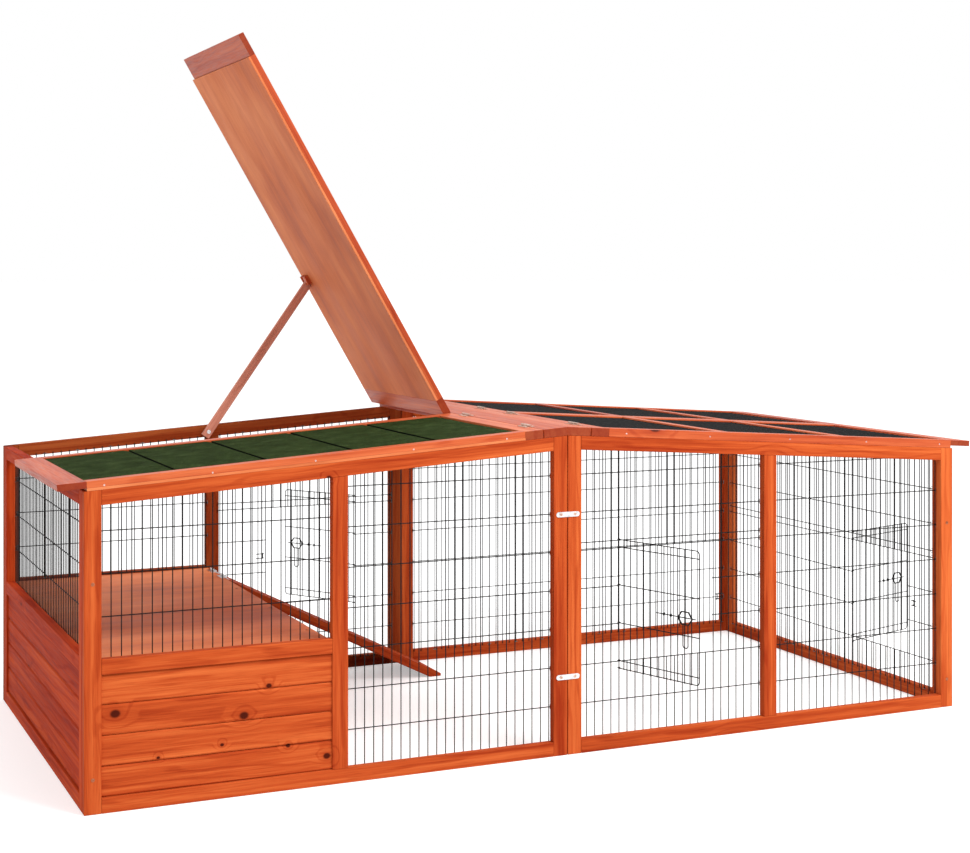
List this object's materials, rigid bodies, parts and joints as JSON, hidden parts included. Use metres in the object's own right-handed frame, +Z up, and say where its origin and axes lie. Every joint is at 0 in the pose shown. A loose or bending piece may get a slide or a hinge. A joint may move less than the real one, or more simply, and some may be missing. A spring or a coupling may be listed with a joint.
{
  "type": "outdoor rabbit run",
  "caption": "Low wooden pet run of wire-meshed frames with a shallow ridged roof of hinged lids, a boarded end with a raised platform and ramp, and small wire doors.",
  "frame": {"origin": "on the ground at the front face of the run, where the two modules meet", "axes": "+X to the right along the front, +Y from front to back, +Z up"},
  "size_m": [2.0846, 1.2923, 1.4344],
  "materials": {
    "fir": "orange-brown stained fir, satin",
    "pale_fir": "stained fir, paler on top faces",
    "plywood": "stained plywood, matt",
    "felt": "dark green mineral roofing felt",
    "wire": "black coated wire",
    "zinc": "bright zinc plate"
  },
  "bodies": {
    "run": {"front_left_posts": "fir", "front_left_rails": "fir", "front_right_posts": "fir", "front_right_rails": "fir", "back_left_posts": "fir", "back_left_rails": "fir", "back_right_posts": "fir", "back_right_rails": "fir", "left_end_stiles": "fir", "left_end_rails": "fir", "right_end_stiles": "fir", "right_end_rails": "fir", "front_boards": "fir", "back_boards": "fir", "left_end_boards": "fir", "front_left_outer_mesh": "wire", "front_left_inner_mesh": "wire", "front_right_outer_mesh": "wire", "front_right_inner_mesh": "wire", "back_left_outer_mesh": "wire", "back_left_inner_mesh": "wire", "back_right_outer_mesh": "wire", "back_right_inner_mesh": "wire", "left_end_mesh": "wire", "right_end_mesh": "wire", "platform": "plywood", "platform_bearers": "fir", "platform_hinge_leaves": "zinc", "ridge_board_left": "pale_fir", "ridge_board_right": "pale_fir", "ridge_hinge_leaves": "zinc", "prop_screw": "zinc", "door_catches": "wire", "joining_plates": "zinc", "plate_screws": "zinc", "frame_screws": "zinc"},
    "front_left_lid": {"front_left_lid_frame": "pale_fir", "front_left_lid_panel": "plywood", "front_left_lid_felt": "felt", "front_left_lid_leaves": "zinc"},
    "back_left_lid": {"back_left_lid_frame": "pale_fir", "back_left_lid_panel": "plywood", "back_left_lid_felt": "felt", "back_left_lid_leaves": "zinc", "prop_cleat": "pale_fir"},
    "front_right_lid": {"front_right_lid_frame": "pale_fir", "front_right_lid_net": "wire", "front_right_lid_leaves": "zinc"},
    "back_right_lid": {"back_right_lid_frame": "pale_fir", "back_right_lid_net": "wire", "back_right_lid_leaves": "zinc"},
    "prop_strut": {"prop_strut": "fir"},
    "ramp": {"ramp": "fir", "ramp_hinge_leaves": "zinc"},
    "front_door": {"front_door": "wire"},
    "back_door": {"back_door": "wire"},
    "end_door": {"end_door": "wire"},
    "front_door_latch": {"front_door_latch": "wire"},
    "back_door_latch": {"back_door_latch": "wire"},
    "end_door_latch": {"end_door_latch": "wire"}
  },
  "joints": [
    {"name": "front_left_lid_hinge", "type": "hinge", "parent": "run", "child": "front_left_lid", "pos_m": [-0.05219, 0.23425, 0.63715], "axis": [0, 1, 0], "range_deg": [0, 85]},
    {"name": "back_left_lid_hinge", "type": "hinge", "parent": "run", "child": "back_left_lid", "pos_m": [-0.05219, 0.70375, 0.63715], "axis": [0, 1, 0], "range_deg": [-63.83, 0]},
    {"name": "front_right_lid_hinge", "type": "hinge", "parent": "run", "child": "front_right_lid", "pos_m": [0.05219, 0.23425, 0.63715], "axis": [0, -1, 0], "range_deg": [0, 85]},
    {"name": "back_right_lid_hinge", "type": "hinge", "parent": "run", "child": "back_right_lid", "pos_m": [0.05219, 0.70375, 0.63715], "axis": [0, -1, 0], "range_deg": [0, 85]},
    {"name": "prop_strut_pivot", "type": "hinge", "parent": "run", "child": "prop_strut", "pos_m": [-0.476, 0.9085, 0.57513], "axis": [0, 1, 0], "range_deg": [-129.33, 0.5]},
    {"name": "ramp_hinge", "type": "hinge", "parent": "run", "child": "ramp", "pos_m": [-0.475, 0.8225, 0.2646], "axis": [0, -1, 0], "range_deg": [0, 50]},
    {"name": "front_door_hinge", "type": "hinge", "parent": "run", "child": "front_door", "pos_m": [0.122, 0.0191, 0.2795], "axis": [0, 0, -1], "range_deg": [-72, 78]},
    {"name": "back_door_hinge", "type": "hinge", "parent": "run", "child": "back_door", "pos_m": [-0.122, 0.9189, 0.2795], "axis": [0, 0, -1], "range_deg": [-58, 92]},
    {"name": "end_door_hinge", "type": "hinge", "parent": "run", "child": "end_door", "pos_m": [0.9069, 0.343, 0.2045], "axis": [0, 0, 1], "range_deg": [-108, 42]},
    {"name": "front_door_latch_slide", "type": "slide", "parent": "front_door", "child": "front_door_latch", "axis": [0.309, -0.9511, 0], "range_m": [0, 0.018]},
    {"name": "back_door_latch_slide", "type": "slide", "parent": "back_door", "child": "back_door_latch", "axis": [-0.5299, 0.848, 0], "range_m": [0, 0.018]},
    {"name": "end_door_latch_slide", "type": "slide", "parent": "end_door", "child": "end_door_latch", "axis": [0.9511, 0.309, 0], "range_m": [0, 0.018]}
  ],
  "couplings": [
    {"joint": "prop_strut_pivot", "follows": "back_left_lid_hinge", "ratio": 2.0183}
  ]
}
